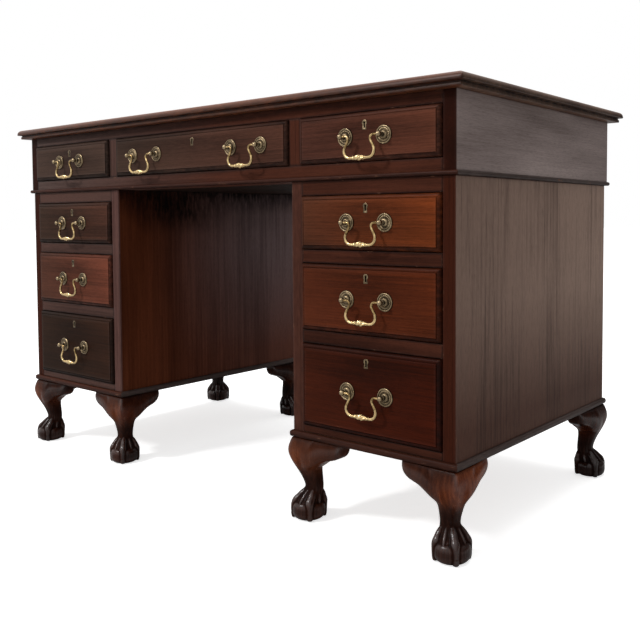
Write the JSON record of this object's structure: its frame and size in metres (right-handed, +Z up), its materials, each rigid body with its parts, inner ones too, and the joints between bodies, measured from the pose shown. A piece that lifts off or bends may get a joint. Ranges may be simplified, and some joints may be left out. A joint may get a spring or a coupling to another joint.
{
  "type": "kneehole desk",
  "caption": "Free-standing mahogany kneehole desk with drawers in the frieze and both pedestals, swan-neck brass bail handles, and cabriole legs on ball-and-claw feet.",
  "frame": {"origin": "on the floor, under the middle of the overall box", "axes": "+X to the right of a person who stands in front of the desk, +Y from its front to its back, +Z up"},
  "size_m": [1.288, 0.6704, 0.783],
  "materials": {
    "mahogany": "old french-polished mahogany, dark red-brown, worn on its edges",
    "mahogany_front": "polished mahogany with level grain, warmer than the case",
    "drawer_oak": "plain unpolished oak",
    "carcase_pine": "dark stained pine, unpolished",
    "brass": "lacquered cast brass, rubbed bright on the bails, tarnished in the hollows",
    "leather": "thin hide skiver with a tooled line border"
  },
  "bodies": {
    "carcase": {"desk_top": "mahogany", "writing_leather": "leather", "frieze_ends": "mahogany", "frieze_back": "mahogany", "frieze_bottom_board": "carcase_pine", "frieze_front_frame": "mahogany", "frieze_partitions": "carcase_pine", "frieze_runners": "carcase_pine", "frieze_bead": "mahogany", "left_pedestal_sides": "mahogany", "left_pedestal_back": "mahogany", "left_pedestal_boards": "carcase_pine", "left_pedestal_front_rails": "mahogany", "left_pedestal_runners": "carcase_pine", "left_pedestal_base_moulding": "mahogany", "left_pedestal_legs": "mahogany", "right_pedestal_sides": "mahogany", "right_pedestal_back": "mahogany", "right_pedestal_boards": "carcase_pine", "right_pedestal_front_rails": "mahogany", "right_pedestal_runners": "carcase_pine", "right_pedestal_base_moulding": "mahogany", "right_pedestal_legs": "mahogany"},
    "frieze_centre_drawer": {"frieze_centre_drawer_front": "mahogany_front", "frieze_centre_drawer_box": "drawer_oak", "frieze_centre_drawer_fittings": "brass"},
    "frieze_centre_drawer_left_bail": {"frieze_centre_drawer_left_bail": "brass"},
    "frieze_centre_drawer_right_bail": {"frieze_centre_drawer_right_bail": "brass"},
    "frieze_left_drawer": {"frieze_left_drawer_front": "mahogany_front", "frieze_left_drawer_box": "drawer_oak", "frieze_left_drawer_fittings": "brass"},
    "frieze_left_drawer_bail": {"frieze_left_drawer_bail": "brass"},
    "left_upper_drawer": {"left_upper_drawer_front": "mahogany_front", "left_upper_drawer_box": "drawer_oak", "left_upper_drawer_fittings": "brass"},
    "left_upper_drawer_bail": {"left_upper_drawer_bail": "brass"},
    "left_middle_drawer": {"left_middle_drawer_front": "mahogany_front", "left_middle_drawer_box": "drawer_oak", "left_middle_drawer_fittings": "brass"},
    "left_middle_drawer_bail": {"left_middle_drawer_bail": "brass"},
    "left_lower_drawer": {"left_lower_drawer_front": "mahogany_front", "left_lower_drawer_box": "drawer_oak", "left_lower_drawer_fittings": "brass"},
    "left_lower_drawer_bail": {"left_lower_drawer_bail": "brass"},
    "frieze_right_drawer": {"frieze_right_drawer_front": "mahogany_front", "frieze_right_drawer_box": "drawer_oak", "frieze_right_drawer_fittings": "brass"},
    "frieze_right_drawer_bail": {"frieze_right_drawer_bail": "brass"},
    "right_upper_drawer": {"right_upper_drawer_front": "mahogany_front", "right_upper_drawer_box": "drawer_oak", "right_upper_drawer_fittings": "brass"},
    "right_upper_drawer_bail": {"right_upper_drawer_bail": "brass"},
    "right_middle_drawer": {"right_middle_drawer_front": "mahogany_front", "right_middle_drawer_box": "drawer_oak", "right_middle_drawer_fittings": "brass"},
    "right_middle_drawer_bail": {"right_middle_drawer_bail": "brass"},
    "right_lower_drawer": {"right_lower_drawer_front": "mahogany_front", "right_lower_drawer_box": "drawer_oak", "right_lower_drawer_fittings": "brass"},
    "right_lower_drawer_bail": {"right_lower_drawer_bail": "brass"}
  },
  "joints": [
    {"name": "frieze_centre_drawer_slide", "type": "slide", "parent": "carcase", "child": "frieze_centre_drawer", "axis": [0, -1, 0], "range_m": [0, 0.38]},
    {"name": "frieze_centre_drawer_left_bail_swing", "type": "hinge", "parent": "frieze_centre_drawer", "child": "frieze_centre_drawer_left_bail", "pos_m": [-0.155, -0.32955, 0.6975], "axis": [-1, 0, 0], "range_deg": [-13, 170]},
    {"name": "frieze_centre_drawer_right_bail_swing", "type": "hinge", "parent": "frieze_centre_drawer", "child": "frieze_centre_drawer_right_bail", "pos_m": [0.155, -0.32955, 0.6975], "axis": [-1, 0, 0], "range_deg": [-13, 170]},
    {"name": "frieze_left_drawer_slide", "type": "slide", "parent": "carcase", "child": "frieze_left_drawer", "axis": [0, -1, 0], "range_m": [0, 0.38]},
    {"name": "frieze_left_drawer_bail_swing", "type": "hinge", "parent": "frieze_left_drawer", "child": "frieze_left_drawer_bail", "pos_m": [-0.442, -0.32955, 0.6975], "axis": [-1, 0, 0], "range_deg": [-13, 170]},
    {"name": "left_upper_drawer_slide", "type": "slide", "parent": "carcase", "child": "left_upper_drawer", "axis": [0, -1, 0], "range_m": [0, 0.38]},
    {"name": "left_upper_drawer_bail_swing", "type": "hinge", "parent": "left_upper_drawer", "child": "left_upper_drawer_bail", "pos_m": [-0.441, -0.32655, 0.5515], "axis": [-1, 0, 0], "range_deg": [-13, 170]},
    {"name": "left_middle_drawer_slide", "type": "slide", "parent": "carcase", "child": "left_middle_drawer", "axis": [0, -1, 0], "range_m": [0, 0.38]},
    {"name": "left_middle_drawer_bail_swing", "type": "hinge", "parent": "left_middle_drawer", "child": "left_middle_drawer_bail", "pos_m": [-0.441, -0.32655, 0.418], "axis": [-1, 0, 0], "range_deg": [-13, 170]},
    {"name": "left_lower_drawer_slide", "type": "slide", "parent": "carcase", "child": "left_lower_drawer", "axis": [0, -1, 0], "range_m": [0, 0.38]},
    {"name": "left_lower_drawer_bail_swing", "type": "hinge", "parent": "left_lower_drawer", "child": "left_lower_drawer_bail", "pos_m": [-0.441, -0.32655, 0.257], "axis": [-1, 0, 0], "range_deg": [-13, 170]},
    {"name": "frieze_right_drawer_slide", "type": "slide", "parent": "carcase", "child": "frieze_right_drawer", "axis": [0, -1, 0], "range_m": [0, 0.38]},
    {"name": "frieze_right_drawer_bail_swing", "type": "hinge", "parent": "frieze_right_drawer", "child": "frieze_right_drawer_bail", "pos_m": [0.442, -0.32955, 0.6975], "axis": [-1, 0, 0], "range_deg": [-13, 170]},
    {"name": "right_upper_drawer_slide", "type": "slide", "parent": "carcase", "child": "right_upper_drawer", "axis": [0, -1, 0], "range_m": [0, 0.38]},
    {"name": "right_upper_drawer_bail_swing", "type": "hinge", "parent": "right_upper_drawer", "child": "right_upper_drawer_bail", "pos_m": [0.441, -0.32655, 0.5515], "axis": [-1, 0, 0], "range_deg": [-13, 170]},
    {"name": "right_middle_drawer_slide", "type": "slide", "parent": "carcase", "child": "right_middle_drawer", "axis": [0, -1, 0], "range_m": [0, 0.38]},
    {"name": "right_middle_drawer_bail_swing", "type": "hinge", "parent": "right_middle_drawer", "child": "right_middle_drawer_bail", "pos_m": [0.441, -0.32655, 0.418], "axis": [-1, 0, 0], "range_deg": [-13, 170]},
    {"name": "right_lower_drawer_slide", "type": "slide", "parent": "carcase", "child": "right_lower_drawer", "axis": [0, -1, 0], "range_m": [0, 0.38]},
    {"name": "right_lower_drawer_bail_swing", "type": "hinge", "parent": "right_lower_drawer", "child": "right_lower_drawer_bail", "pos_m": [0.441, -0.32655, 0.257], "axis": [-1, 0, 0], "range_deg": [-13, 170]}
  ]
}
